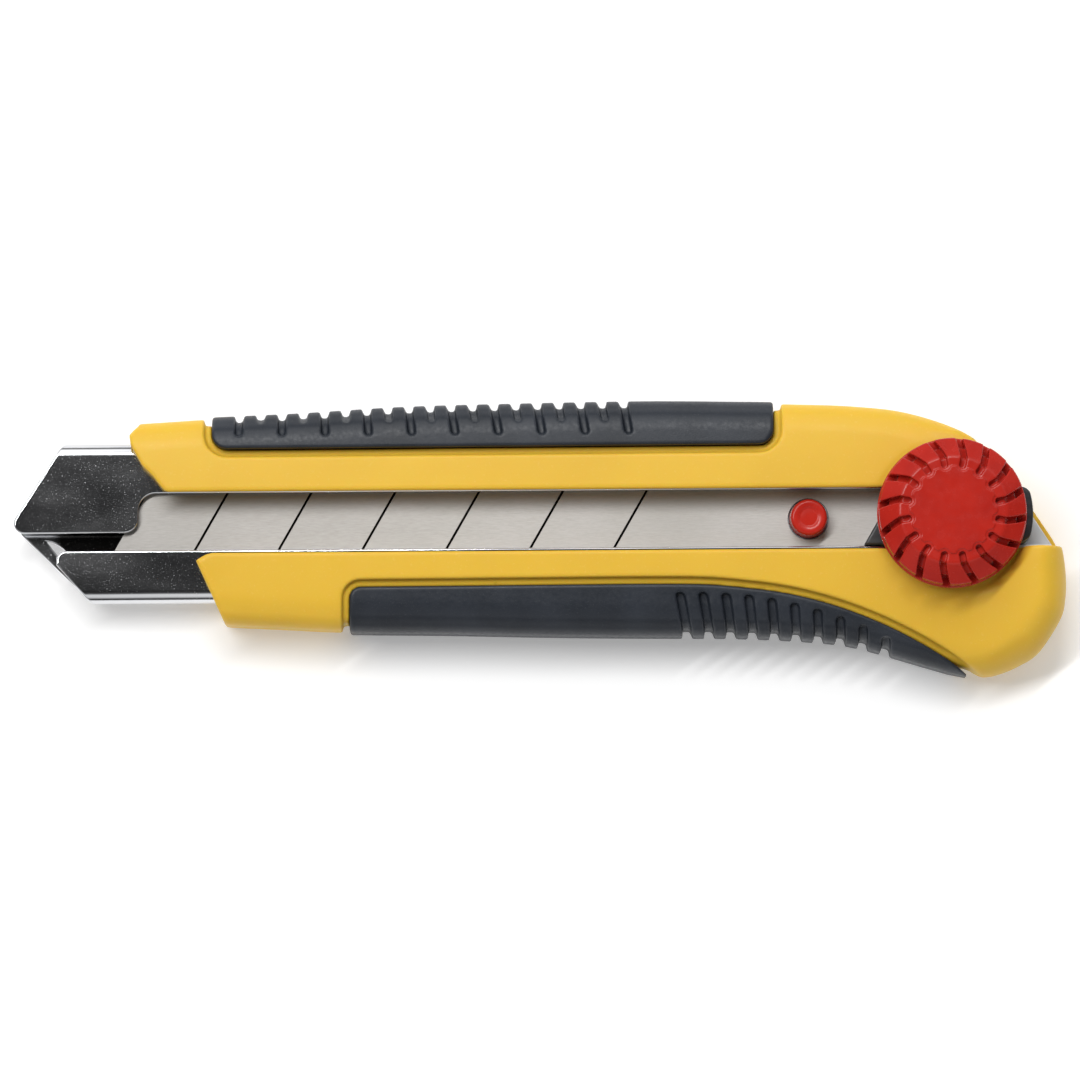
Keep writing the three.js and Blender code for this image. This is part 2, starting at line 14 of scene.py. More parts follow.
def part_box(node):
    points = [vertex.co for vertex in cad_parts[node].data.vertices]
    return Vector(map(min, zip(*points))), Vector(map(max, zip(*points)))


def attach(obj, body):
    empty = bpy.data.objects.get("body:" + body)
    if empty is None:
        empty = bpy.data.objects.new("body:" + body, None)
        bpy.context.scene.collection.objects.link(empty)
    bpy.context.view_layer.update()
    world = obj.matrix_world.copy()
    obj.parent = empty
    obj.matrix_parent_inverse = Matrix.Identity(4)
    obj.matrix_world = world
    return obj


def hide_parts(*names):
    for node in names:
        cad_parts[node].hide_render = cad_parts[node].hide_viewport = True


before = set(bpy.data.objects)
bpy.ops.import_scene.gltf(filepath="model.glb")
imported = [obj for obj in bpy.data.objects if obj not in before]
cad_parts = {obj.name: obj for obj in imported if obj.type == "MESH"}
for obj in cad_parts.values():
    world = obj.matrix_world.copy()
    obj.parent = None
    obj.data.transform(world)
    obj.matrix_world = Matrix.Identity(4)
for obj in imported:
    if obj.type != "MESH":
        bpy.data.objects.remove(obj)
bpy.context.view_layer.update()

MM = 0.001
CENTRE_Y = 3.2  # the slot's centre line
STUD_X = 68.4  # the wheel's axis


def middle(node):
    low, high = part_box(node)
    return (low + high) / 2


def height(node, top=True):
    """The z of a CAD node's top or bottom, in mm."""
    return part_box(node)[1 if top else 0].z / MM


ORIGIN = Vector((middle("lock_wheel").x - STUD_X * MM, middle("lock_wheel").y - CENTRE_Y * MM, 0))

SHEATH_BACK = height("blade_sheath", top=False)
SHEATH_FRONT = height("blade_sheath")
BLADE_BACK = height("snap_off_blade", top=False)
BLADE_FRONT = height("snap_off_blade")
WHEEL_BACK = height("lock_wheel", top=False)
WHEEL_TOP = height("lock_wheel")
BODY_TOP = 13.4
SWELL_RISE = height("handle_body") - BODY_TOP
SHEET = 0.7
SCENE = bpy.context.scene


# ---- Meshes ----
def add_mesh(name, vertices, faces, smooth=True):
    """A new object from points in millimetres, in the drawing's axes."""
    mesh = bpy.data.meshes.new(name)
    points = np.asarray(vertices, float) * MM + np.array(ORIGIN)
    mesh.from_pydata(points.tolist(), [], faces if isinstance(faces, list) else faces.tolist())
    mesh.validate()
    mesh.polygons.foreach_set("use_smooth", [smooth] * len(mesh.polygons))
    piece = bpy.data.objects.new(name, mesh)
    SCENE.collection.objects.link(piece)
    return piece


def apply_modifiers(piece):
    graph = bpy.context.evaluated_depsgraph_get()
    finished = bpy.data.meshes.new_from_object(piece.evaluated_get(graph))
    piece.modifiers.clear()
    piece.data = finished


def dress(piece, body, slot, material, *nodes):
    """Makes a piece ride on its body, take its finish and stand for its CAD nodes."""
    piece.data.materials.clear()
    piece.data.materials.append(material)
    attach(piece, body)
    if nodes:
        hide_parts(*nodes)
    return piece


def spline(points, steps=10):
    """Points along a smooth curve through the given ones."""
    p = np.array([points[0], *points, points[-1]], float)
    t = np.linspace(0, 1, steps, endpoint=False)[:, None]
    runs = []
    for a, b, c, d in zip(p, p[1:], p[2:], p[3:]):
        square, cube = 2 * a - 5 * b + 4 * c - d, 3 * b - a - 3 * c + d
        runs.append(0.5 * (2 * b + (c - a) * t + square * t**2 + cube * t**3))
    return [*np.concatenate(runs).tolist(), list(points[-1])]


def arc(x, y, radius, start, end, steps=8):
    """Points round an arc, with its angles in degrees."""
    turns = np.radians(np.linspace(start, end, steps + 1))
    return [[x + radius * math.cos(t), y + radius * math.sin(t)] for t in turns]


# ---- Moulded pieces: the zero level of a distance field ----
class Plan:
    """Signed distance in plan to a closed outline, negative inside, kept as a fine table."""

    def __init__(self, outline, low=(-92, -27), high=(92, 27), step=0.15):
        self.low, self.step = low, step
        x = np.arange(low[0], high[0] + step, step)[:, None]
        y = np.arange(low[1], high[1] + step, step)[None, :]
        nearest = np.full((x.size, y.size), 1e9)
        inside = np.zeros(nearest.shape, bool)
        corners = np.array(outline, float)
        for (ax, ay), (bx, by) in zip(corners, np.roll(corners, -1, axis=0)):
            dx, dy = bx - ax, by - ay
            length = dx * dx + dy * dy
            if length < 1e-12:
                continue
            along = np.clip(((x - ax) * dx + (y - ay) * dy) / length, 0, 1)
            nearest = np.minimum(nearest, (x - ax - along * dx) ** 2 + (y - ay - along * dy) ** 2)
            if ay != by:
                inside ^= ((ay > y) != (by > y)) & (x < dx * (y - ay) / dy + ax)
        self.table = np.sqrt(nearest) * np.where(inside, -1, 1)

    def __call__(self, x, y):
        u = np.clip((x - self.low[0]) / self.step, 0, self.table.shape[0] - 1.001)
        v = np.clip((y - self.low[1]) / self.step, 0, self.table.shape[1] - 1.001)
        i, j = u.astype(int), v.astype(int)
        s, t = u - i, v - j
        t0 = self.table[i, j] * (1 - t) + self.table[i, j + 1] * t
        t1 = self.table[i + 1, j] * (1 - t) + self.table[i + 1, j + 1] * t
        return t0 * (1 - s) + t1 * s


def both(a, b, radius):
    """Where both fields hold, with the edge between them rounded."""
    rounded = np.hypot(np.maximum(a + radius, 0), np.maximum(b + radius, 0))
    return np.minimum(np.maximum(a, b), -radius) + rounded


def either(a, b, radius):
    """Where one field or the other holds, with the corner between them filled."""
    return -both(-a, -b, radius)


def cut(a, b, radius):
    """The first field without the second, with the edge rounded."""
    return both(a, -b, radius)


def step_up(x, start, end):
    """A smooth step from 0 at start to 1 at end."""
    t = np.clip((x - start) / (end - start), 0, 1)
    return t * t * (3 - 2 * t)


def moulded(name, field, low, high, step, faces_kept=1.0):
    """The closed surface on which field(x, y, z) is zero, meshed on a grid and then moved onto the field."""
    axes = [np.arange(a, b + step, step) for a, b in zip(low, high)]
    x, y, z = np.meshgrid(*axes, indexing="ij", sparse=True)
    values = np.broadcast_to(field(x, y, z), [a.size for a in axes])
    shape = np.array(values.shape)
    strides = np.array([shape[1] * shape[2], shape[2], 1])
    starts, crossings, quads = [], [], []
    for axis in range(3):
        ahead = np.moveaxis(values, axis, 0)
        changed = np.moveaxis((ahead[1:] < 0) != (ahead[:-1] < 0), 0, axis)
        cells = np.argwhere(changed)
        across = [(axis + 1) % 3, (axis + 2) % 3]
        cells = cells[np.all((cells[:, across] > 0) & (cells[:, across] < shape[across] - 1), axis=1)]
        near = values[tuple(cells.T)]
        far_cells = cells.copy()
        far_cells[:, axis] += 1
        far = values[tuple(far_cells.T)]
        point = cells.astype(float)
        point[:, axis] += near / (near - far)
        base = cells @ strides
        first, second = strides[across]
        corner = [base - first * i - second * j for i, j in ((0, 0), (1, 0), (1, 1), (0, 1))]
        quad = np.stack(corner, axis=1)
        quad[near < 0] = quad[near < 0][:, ::-1]
        quads.append(quad[:, ::-1])
        starts += corner
        crossings += [point] * 4
    names, place = np.unique(np.concatenate(starts), return_inverse=True)
    crossing = np.concatenate(crossings)
    count = np.bincount(place)
    spots = np.stack([np.bincount(place, crossing[:, i]) / count for i in range(3)], axis=1)
    spots = spots * step + np.array([a[0] for a in axes])
    reach = 0.02  # either side of a point, for the field's slope there
    for _ in range(2):
        here = field(*spots.T)
        slope = np.stack(
            [(field(*(spots + s).T) - field(*(spots - s).T)) / (2 * reach) for s in np.eye(3) * reach], axis=1
        )
        size = np.maximum((slope**2).sum(1), 0.2)
        spots -= np.clip(here / size, -0.6 * step, 0.6 * step)[:, None] * slope
    faces = np.searchsorted(names, np.concatenate(quads))
    piece = add_mesh(name, spots, faces)
    if faces_kept < 1:
        fewer = piece.modifiers.new("fewer", "DECIMATE")
        fewer.ratio = faces_kept
        apply_modifiers(piece)
    return piece


# ---- Handle outlines ----
TOP_EDGE = [[-100, 17.9], [-66, 19.7], [-55.7, 20.3], [-40, 20.95], [-23.3, 21.9], [-6.7, 22.3],
            [16.7, 22.6], [33.3, 22.4], [41, 22.25], [50, 21.95], [56.7, 21.4], [60, 20.9],
            [63.3, 20.1], [66.7, 18.95], [70, 17.5], [72.4, 16.1]]
TAIL_EDGE = [[82.1, 5.3], [84.7, 1.4], [86.1, -0.9], [86.95, -3.3], [87.45, -7], [87.35, -10.8],
             [86.5, -14.2], [83.2, -19.2], [79.9, -21.4], [76.5, -22.8], [74, -23.25], [71.2, -23.05]]
LOW_EDGE = [[68, -22.4], [63.3, -21], [60, -20], [56.7, -19], [53.3, -18.1], [50, -17.4],
            [46.7, -17.05], [43.3, -16.75], [36.7, -16.35], [30, -16.15], [16.7, -16.0], [3.3, -15.8],
            [-6.7, -15.55], [-16.7, -15.3], [-33.3, -15.0], [-46.7, -14.3], [-100, -11.5]]
FRONT_EDGE = [[-120, 40], [-64, 40], [-66.9, 19.2], [-68.3, 17.6], [-68.05, 15.9], [-66.1, 12.4],
              [-64.3, 10.6], [-62.4, 8.1], [-55.1, -2.2], [-57.25, -3.5], [-52.3, -14.4], [-40, -41],
              [-120, -41]]

# ---- Handle sizes ----
SLOT_LOW, SLOT_HIGH = -2.3, 7.92  # at the rails' front edges
SLOT_UNDERCUT = 0.085  # how much the upper rail's edge leans back below its front face
FRONT_CROWN = 340  # the front face falls away by the offset squared over this
BEVEL, BEVEL_BLEND = 3.9, 1.1  # width of the bevel along its outer edges, and of the bend into it
BEVEL_SLOPE = math.tan(math.radians(15))
FRONT_ROUNDING, TAIL_ROUNDING, BACK_ROUNDING = 2.2, 3.4, 3.2
WHEEL_DISH = 12.9  # radius of the flat that the wheel turns over
RIVET_WELL, RIVET_WELL_DEPTH = 3.4, 1.4
LEDGE_DEPTH = 1.1  # of the step round each grip
GRIP_DEPTH = 2.4
GRIP_PROUD, GRIP_CROWN = 0.35, 0.45


def rail_top(y, wall):
    """The height of the front face: slightly crowned, with a soft bevel along the handle's outline."""
    into = np.maximum(wall + BEVEL + BEVEL_BLEND, 0)
    curved = np.minimum(into, 2 * BEVEL_BLEND)
    bevel = BEVEL_SLOPE * (into - curved + curved**2 / (4 * BEVEL_BLEND))
    return BODY_TOP - (y - CENTRE_Y) ** 2 / FRONT_CROWN - bevel


def swell(x, y):
    """How far the palm swell at the tail stands above the rail. A round dish parts it from the wheel."""
    from_wheel = np.hypot(x - STUD_X, y - CENTRE_Y)
    dish = 0.4 + 0.6 * step_up(from_wheel, 12.3, 14.6)
    return SWELL_RISE * step_up(x + 0.25 * (y + 10), 70, 88) * dish


def upper_grip_outline(grown):
    left, right, low, corner = -54.5 - grown, 39 + grown, 15.05 - grown, 2.5 + grown
    return [[left, 60], *arc(left + corner, low + corner, corner, 180, 270),
            *arc(right - corner, low + 0.2 + corner, corner, 270, 360), [right, 60]]


def lower_grip_outline(grown):
    left, high, corner = -31.7 - grown, -8.15 + grown, 1.8 + grown
    sweep = [[-13.3, -8.1], [5, -8.02], [16.7, -8.0], [26.7, -8.12], [33.3, -8.65], [40, -9.55],
             [46.7, -11.1], [53.3, -13.35], [60, -16.35], [66.7, -20.15], [71.4, -23.4], [78, -28.4]]
    lean = [0.0, 0, 0, 0.03, 0.1, 0.18, 0.28, 0.38, 0.47, 0.52, 0.56, 0.6]  # the sweep's normal along X
    moved = [[x + grown * s, y + grown * math.sqrt(1 - s * s)] for (x, y), s in zip(sweep, lean)]
    return [[left - 0.8, -60], *arc(left + corner, high - corner, corner, 180, 90), *spline(moved), [78, -60]]


handle_plan = Plan(spline(TOP_EDGE) + spline(TAIL_EDGE) + spline(LOW_EDGE))
front_plan = Plan(FRONT_EDGE)
sheath_half = (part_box("blade_sheath")[1].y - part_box("blade_sheath")[0].y) / MM / 2


def skin(x, y, z):
    """The handle's outer surface, before anything is cut from it."""
    wall = handle_plan(x, y)
    rounding = FRONT_ROUNDING + TAIL_ROUNDING * step_up(x, 66, 82) * step_up(-y, -2, 8)
    front = both(wall, z - rail_top(y, wall) - swell(x, y), rounding)
    return both(front, -z, BACK_ROUNDING)


def slab(y, z, half, low, high, radius):
    """A bar along X, centred on the slot, with round corners."""
    return both(both(np.abs(y - CENTRE_Y) - half, low - z, radius), z - high, radius)


upper_grip_plan = Plan(upper_grip_outline(0))
lower_grip_plan = Plan(lower_grip_outline(0))
upper_ledge_plan = Plan(upper_grip_outline(1.3))
lower_ledge_plan = Plan(lower_grip_outline(1.25))


def handle_field(x, y, z):
    outer = skin(x, y, z)
    body = outer
    for plan in (upper_ledge_plan, lower_ledge_plan):
        recess = both(plan(x, y), -(outer + LEDGE_DEPTH), 0.6)
        body = cut(body, recess, 0.4)
    for plan in (upper_grip_plan, lower_grip_plan):
        recess = both(plan(x, y) - 0.12, -(outer + GRIP_DEPTH), 0.2)
        body = cut(body, recess, 0.15)
    body = cut(body, slab(y, z, sheath_half + 0.25, SHEATH_BACK - 0.2, SHEATH_FRONT + 0.25, 1.7), 0.2)
    undercut = SLOT_UNDERCUT * (BODY_TOP - z)
    slot = np.maximum(np.maximum(SLOT_LOW - y, y - SLOT_HIGH - undercut), SHEATH_FRONT - 1 - z)
    body = cut(body, slot, 0.15)
    from_axis = np.hypot(x - STUD_X, y - CENTRE_Y)
    body = cut(body, both(from_axis - WHEEL_DISH, BODY_TOP - 0.1 - z, 0.6), 0.7)
    body = cut(body, front_plan(x, y), 0.55)
    for rivet in ("sheath_rivet_front", "sheath_rivet_rear"):
        centre = (middle(rivet) - ORIGIN) / MM
        well = np.hypot(x - centre.x, y - centre.y)
        body = cut(body, both(well - RIVET_WELL, z - RIVET_WELL_DEPTH, 0.1), 0.3)
    return body


def grip_skin(x, y, z):
    """A grip's surface, a little proud of the handle's, and how much of a point lies on the grip's side."""
    wall = handle_plan(x, y)
    proud = GRIP_PROUD + GRIP_CROWN * step_up(-wall, 0.8, 2.6)
    return skin(x, y, z) - proud, step_up(wall, -1.7, -0.5)


def grip_band(plan, surface, x, y, z):
    """A layer under the grip's surface, inside its outline and clear of the ground."""
    band = both(both(plan(x, y), surface, 0.45), 0.1 - z, 0.3)
    return cut(band, surface + GRIP_PROUD + GRIP_DEPTH - 0.2, 0.1)


def groove(across, beyond_end, half, depth, surface, side):
    """A groove with a round end, sunk below a grip's surface. On the grip's side it opens out like a V."""
    rise = surface + depth
    wall = half - 0.12 * side + (0.1 + 0.28 * side) * np.clip(rise, 0, 2)
    return both(np.hypot(across, np.maximum(beyond_end, 0)) - wall, -rise, 0.3)


def nearest_row(position, first, pitch, count):
    """How far a position is from the closest of a row of marks, and which mark that is."""
    row = np.clip(np.round((position - first) / pitch), 0, count - 1)
    return position - first - pitch * row, row.astype(int)


def upper_grip_field(x, y, z):
    surface, side = grip_skin(x, y, z)
    grip = grip_band(upper_grip_plan, surface, x, y, z)
    pitch, first, foot, half = 7.217, -50.05, 17.2, 0.56
    lean = np.clip(0.0052 * (x + 44), -0.04, 0.16)  # upright at the front, and more slanted behind
    upright = x + lean * (y - foot)
    across, _ = nearest_row(upright, first, pitch, 10)
    grip = cut(grip, groove(across, foot + half - y, half, 1.15, surface, side), 0.2)
    across, _ = nearest_row(upright, first + pitch / 2, pitch, 9)
    shallow = 0.3 + 0.85 * step_up(y, 19.3, 20.6)
    return cut(grip, groove(across, 19.3 + half - y, half, shallow, surface, side), 0.2)


def lower_grip_field(x, y, z):
    surface, side = grip_skin(x, y, z)
    grip = grip_band(lower_grip_plan, surface, x, y, z)
    tops = np.array([-9.5, -9.5, -9.7, -10.0, -10.6, -11.4, -12.4, -13.65, -15.1, -17.0])
    first, pitch, half = 23.3, 3.79, 0.66
    _, row = nearest_row(x + 0.1 * (y + 9.2), first, pitch, tops.size)
    lean = 0.19 - 0.021 * row  # the last one, by the tail, is upright
    top = tops[row] - half
    across = (x - first - pitch * row + lean * (y - top)) / np.hypot(1, lean)
    return cut(grip, groove(across, y - top, half, 1.15, surface, 0.5 * side), 0.2)


# ---- Wheel ----
WHEEL_RADIUS = (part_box("lock_wheel")[1].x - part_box("lock_wheel")[0].x) / MM / 2
CROWN_RADIUS = 12.2
FACE_RADIUS = 8.9  # the cone starts here
CONE_SLOPE = math.radians(37)
FLANGE_DEPTH = 6.2  # below the wheel's top
DISC_RADIUS, DISC_STEP = 7.3, 0.18  # the middle of the wheel's face stands a little proud
HOLLOW_RADIUS, HOLLOW_DEPTH = 8.3, 2.3
GROOVES = 16
GROOVE_HALF, GROOVE_END = 0.55, 7.6
FIRST_GROOVE = math.radians(10.5)
GROOVE_SWEEP = math.radians(7.2) / 3.5  # for each mm down the cone


def wheel_field(x, y, z):
    u, v = x - STUD_X, y - CENTRE_Y
    radius = np.hypot(u, v)
    face = WHEEL_TOP - DISC_STEP
    cone = (radius - FACE_RADIUS) * math.sin(CONE_SLOPE) + (z - face) * math.cos(CONE_SLOPE)
    crown = both(both(cone, radius - CROWN_RADIUS, 0.2), z - face, 0.2)
    flange = both(radius - WHEEL_RADIUS, z - WHEEL_TOP + FLANGE_DEPTH, 0.2)

    # Every groove is drawn once: radial on the face, then swept round as it runs down the cone.
    pitch = 2 * math.pi / GROOVES
    turn = np.arctan2(v, u) - FIRST_GROOVE
    swept = GROOVE_SWEEP * np.maximum(radius - FACE_RADIUS, 0)
    aside = ((turn - swept + pitch / 2) % pitch - pitch / 2) * np.maximum(radius, 1)
    slant = np.where(radius > FACE_RADIUS, 0.92, 1)
    trench = np.hypot(aside * slant, np.maximum(GROOVE_END - radius, 0)) - GROOVE_HALF
    depth = 1.1 + 0.5 * step_up(radius, 8.7, 9.2)
    crown = cut(crown, both(trench, -(crown + depth), 0.12), 0.12)

    scallop = np.hypot(aside, GROOVE_END - radius) - 0.95
    disc = cut(both(radius - DISC_RADIUS, z - WHEEL_TOP, 0.1), scallop, 0.2)
    wheel = either(either(crown, disc, 0.05), flange, 0.15)
    wheel = cut(wheel, both(radius - HOLLOW_RADIUS, z - WHEEL_BACK - HOLLOW_DEPTH, 0.3), 0.3)
    return both(wheel, WHEEL_BACK - z, 0.5)


# ---- Slider block ----
SLANT = math.tan(math.pi / 6)
BLADE_LOW = (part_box("snap_off_blade")[0].y - ORIGIN.y) / MM
BLADE_HIGH = (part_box("snap_off_blade")[1].y - ORIGIN.y) / MM
BLADE_TIP = (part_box("snap_off_blade")[0].x - ORIGIN.x) / MM
BLADE_REAR = (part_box("snap_off_blade")[1].x - ORIGIN.x) / MM - (BLADE_HIGH - BLADE_LOW) * SLANT


NECK_HALF, WING_HALF = 4.55, 12.2
TOE_REAR, WING_REAR = 70, 73
TOWER_FRONT, TOWER_RADIUS, TOWER_TOP = 60.5, 13.6, 14.6
FLANGE_RADIUS, FLANGE_BASE = 9.5, 13.6
STUD_BORE, PLATE_BORE = 3.3, 4.5


def block_field(x, y, z):
    aside = np.abs(y - CENTRE_Y)
    from_axis = np.hypot(x - STUD_X, y - CENTRE_Y)
    face = (BLADE_REAR - 0.4 + (y - BLADE_LOW) * SLANT - x) / math.hypot(1, SLANT)
    neck = aside - NECK_HALF
    toe = both(both(neck, face, 0.3), both(z - SHEATH_FRONT - 0.4, x - TOE_REAR, 0.2), 0.35)
    post = both(neck, from_axis - TOWER_RADIUS, 1.2)
    tower = both(post, both(TOWER_FRONT - x, z - TOWER_TOP, 0.3), 0.4)
    strip = both(z - BLADE_FRONT - 0.2, x - WING_REAR, 0.2)
    wings = both(both(aside - WING_HALF, face, 0.2), strip, 0.2)
    flange = both(both(from_axis - FLANGE_RADIUS, FLANGE_BASE - z, 0.2), z - TOWER_TOP, 0.2)
    block = either(either(toe, tower, 0.4), wings, 0.1)
    block = both(either(block, flange, 0.1), BLADE_BACK - z, 0.1)
    bore = np.where(z < BLADE_FRONT + 0.3, from_axis - PLATE_BORE, from_axis - STUD_BORE)
    return cut(block, bore, 0.05)


# ---- Sheet metal: a flat pattern, folded ----
SHEATH_LOW = (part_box("blade_sheath")[0].y - ORIGIN.y) / MM
SHEATH_HIGH = (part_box("blade_sheath")[1].y - ORIGIN.y) / MM
BEND = 1.75  # radius of the folds at the sheet's middle
BEND_STEPS = 8
BEND_LENGTH = BEND * math.pi / 2
WALL = SHEATH_FRONT - SHEATH_BACK - SHEET - 2 * BEND
HALF_BACK = (SHEATH_HIGH - SHEATH_LOW - SHEET) / 2 - BEND
FOLDS = [HALF_BACK, HALF_BACK + BEND_LENGTH + WALL]  # where each fold starts, from the middle of the back
FRONT_START = FOLDS[1] + BEND_LENGTH
SHEATH_REAR = 86.1
EDGE = 0.3  # rounding of the sheet's cut edges


def on_front(x, y, side):
    """Where a point of the front side lies in the flat pattern.

    side is 1 for the upper half and -1 for the lower.
    """
    return [x, side * (FRONT_START + HALF_BACK - side * (y - CENTRE_Y))]


def on_back(x, y):
    return [x, y - CENTRE_Y]


def folded(x, along, inward):
    """The place in space of a point of the flat pattern, inward from the sheet's middle."""
    side = 1 if along > 0 else -1
    run = abs(along)
    y, z, turn = min(run, FOLDS[0]), 0.0, 0.0
    for fold, flat_after in zip(FOLDS, (WALL, 2 * HALF_BACK)):
        bent = min(max(run - fold, 0), BEND_LENGTH) / BEND
        y += BEND * (math.sin(turn + bent) - math.sin(turn))
        z += BEND * (math.cos(turn) - math.cos(turn + bent))
        turn += bent
        straight = min(max(run - fold - BEND_LENGTH, 0), flat_after)
        y += straight * math.cos(turn)
        z += straight * math.sin(turn)
    y -= inward * math.sin(turn)
    z += inward * math.cos(turn)
    return x, CENTRE_Y + side * y, SHEATH_BACK + SHEET / 2 + z


def sheath_pattern():
    """The outline of the flat pattern, round from the nose plate's tip, and the window in its back."""
    upper, lower = 1, -1
    lip_high, lip_low = 8.1, -1.4
    nose_plate = [
        on_front(x, y, upper)
        for x, y in [
            [-80.8, CENTRE_Y + HALF_BACK],
            *arc(-86.0, 3.25, 1.75, 150, 270, 7),
            *arc(-69.35, 3.9, 2.4, 270, 360, 9),
            *arc(-64.05, lip_high - 2.9, 2.9, 180, 90, 9),
            [77.6, lip_high],
        ]
    ]
    rear = [
        [72.4, FRONT_START],
        [70.8, FOLDS[1]],
        [70.8, FOLDS[0] + BEND_LENGTH],
        [72.4, FOLDS[0]],
        on_back(81.4, 5.2),
        on_back(85.95, -1.9),
        on_back(SHEATH_REAR, -4),
        [SHEATH_REAR, -FOLDS[0]],
        [SHEATH_REAR, -FRONT_START],
        on_front(SHEATH_REAR, -3.6, lower),
        on_front(85.2, lip_low, lower),
    ]
    lower_lip = [
        on_front(x, y, lower)
        for x, y in [*arc(-79.1, -2.95, 1.55, 90, 190, 6), [-80.7, -3.7], [-76.75, CENTRE_Y - HALF_BACK]]
    ]
    nose = [
        [-74.4, -FOLDS[1]],
        [-74.4, -FOLDS[0] - BEND_LENGTH],
        [-76.65, -FOLDS[0]],
        *[on_back(x, y) for x, y in arc(-85.1, 2.7, 1.9, 225, 150, 5)],
        [-80.95, FOLDS[0]],
        [-79.15, FOLDS[0] + BEND_LENGTH],
        [-79.15, FOLDS[1]],
    ]
    window = [on_back(x, y) for x, y in [[-79.2, -3.6], *arc(-83.2, -4.7, 5.3, 14, 82, 8)]]
    return nose_plate + rear + lower_lip + nose, window


def inset(loop, distance):
    """A closed outline moved to its right, with mitred corners."""
    corners = np.array(loop)
    ahead = np.roll(corners, -1, axis=0) - corners
    ahead /= np.linalg.norm(ahead, axis=1)[:, None]
    right = np.stack([ahead[:, 1], -ahead[:, 0]], axis=1)
    mitre = right + np.roll(right, 1, axis=0)
    mitre /= (mitre * right).sum(1)[:, None]
    return corners + mitre * distance


def sheet_metal(name, *loops):
    """A flat sheet with rounded cut edges, scored where it folds and then folded.

    The first loop is its outline, clockwise, and the others are counterclockwise windows.
    """
    turns = np.linspace(math.pi / 2, 0, 5)
    rim = [(EDGE + 0.03, SHEET / 2)]  # keeps the rim's shading off the flats
    rim += [(EDGE * (1 - math.cos(t)), SHEET / 2 - EDGE * (1 - math.sin(t))) for t in turns]
    rim += [(into, -inward) for into, inward in reversed(rim)]
    flat = bmesh.new()
    ends = ([], [])
    for loop in loops:
        rows = []
        for into, inward in rim:
            rows.append([flat.verts.new((x, along, inward)) for x, along in inset(loop, into)])
        count = len(loop)
        for upper, lower in zip(rows, rows[1:]):
            for i in range(count):
                j = (i + 1) % count
                flat.faces.new((upper[i], lower[i], lower[j], upper[j]))
        for row, edges in zip((rows[0], rows[-1]), ends):
            edges += [flat.edges.get((row[i], row[(i + 1) % count])) for i in range(count)]
    for edges in ends:
        bmesh.ops.triangle_fill(flat, edges=edges, use_beauty=True, normal=(0, 0, 1))
    margin = 0.05  # keeps the folds' shading off the flats
    offsets = [-margin, *np.linspace(0, BEND_LENGTH, BEND_STEPS + 1), BEND_LENGTH + margin]
    for along in [side * (fold + offset) for side in (-1, 1) for fold in FOLDS for offset in offsets]:
        everything = flat.verts[:] + flat.edges[:] + flat.faces[:]
        bmesh.ops.bisect_plane(flat, geom=everything, dist=1e-4, plane_co=(0, along, 0), plane_no=(0, 1, 0))
    for vertex in flat.verts:
        vertex.co = Vector(folded(*vertex.co)) * MM + ORIGIN
    bmesh.ops.recalc_face_normals(flat, faces=flat.faces[:])
    mesh = bpy.data.meshes.new(name)
    flat.to_mesh(mesh)
    flat.free()
    mesh.polygons.foreach_set("use_smooth", [True] * len(mesh.polygons))
    mesh.set_sharp_from_angle(angle=math.radians(32))
    piece = bpy.data.objects.new(name, mesh)
    SCENE.collection.objects.link(piece)
    return piece


# ---- Turned pieces ----
def turned(name, profile, x, y, segments=96):
    """A solid of revolution about a vertical axis, from [radius, height] points."""
    turns = np.linspace(0, 2 * math.pi, segments, endpoint=False)
    vertices = [[x + r * math.cos(t), y + r * math.sin(t), z] for t in turns for r, z in profile]
    rows = len(profile)
    faces = []
    for i in range(segments):
        j = (i + 1) % segments
        for k in range(rows - 1):
            faces.append([i * rows + k, j * rows + k, j * rows + k + 1, i * rows + k + 1])
    piece = add_mesh(name, vertices, faces)
    work = bmesh.new()
    work.from_mesh(piece.data)
    bmesh.ops.remove_doubles(work, verts=work.verts[:], dist=1e-7)
    bmesh.ops.recalc_face_normals(work, faces=work.faces[:])
    work.to_mesh(piece.data)
    work.free()
    piece.data.set_sharp_from_angle(angle=math.radians(50))
    return piece


def pin():
    """A button with a round rim and a shallow dimple, on a neck that goes through the blade."""
    base, top = height("blade_pin", top=False), height("blade_pin")
    centre = (middle("blade_pin") - ORIGIN) / MM
    neck, button, rim = 1.4, 3.2, 0.6
    turns = np.linspace(0.1, math.pi / 2, 7)
    shoulder = [[2.42 + rim * math.cos(t), top - rim + rim * math.sin(t)] for t in turns]
    profile = [
        *[[0, base], [neck, base], [neck, BLADE_BACK], [button, BLADE_BACK], [button, BLADE_FRONT + 0.3]],
        *[[3.02, top - 0.7], *shoulder, [1.62, top - 0.02], [1.5, top - 0.12], [1.35, top - 0.1]],
        [0, top - 0.1],
    ]
    return turned("blade_pin_head", profile, centre.x, centre.y)


def rivet(node):
    base, top = height(node, top=False), height(node)
    centre = (middle(node) - ORIGIN) / MM
    head, shank = 3.1, 1.6
    profile = [
        *[[0, base - 0.05], [shank, base], [2.7, base + 0.15], [head, base + 0.45], [head, base + 0.9]],
        *[[shank, base + 0.9], [shank, top - 0.6], [2.2, top], [0, top]],
    ]
    return turned(node + "_head", profile, centre.x, centre.y)


# ---- Blade ----
SCORES = 6
SEGMENT = 14.0
FIRST_SEGMENT = 13.4


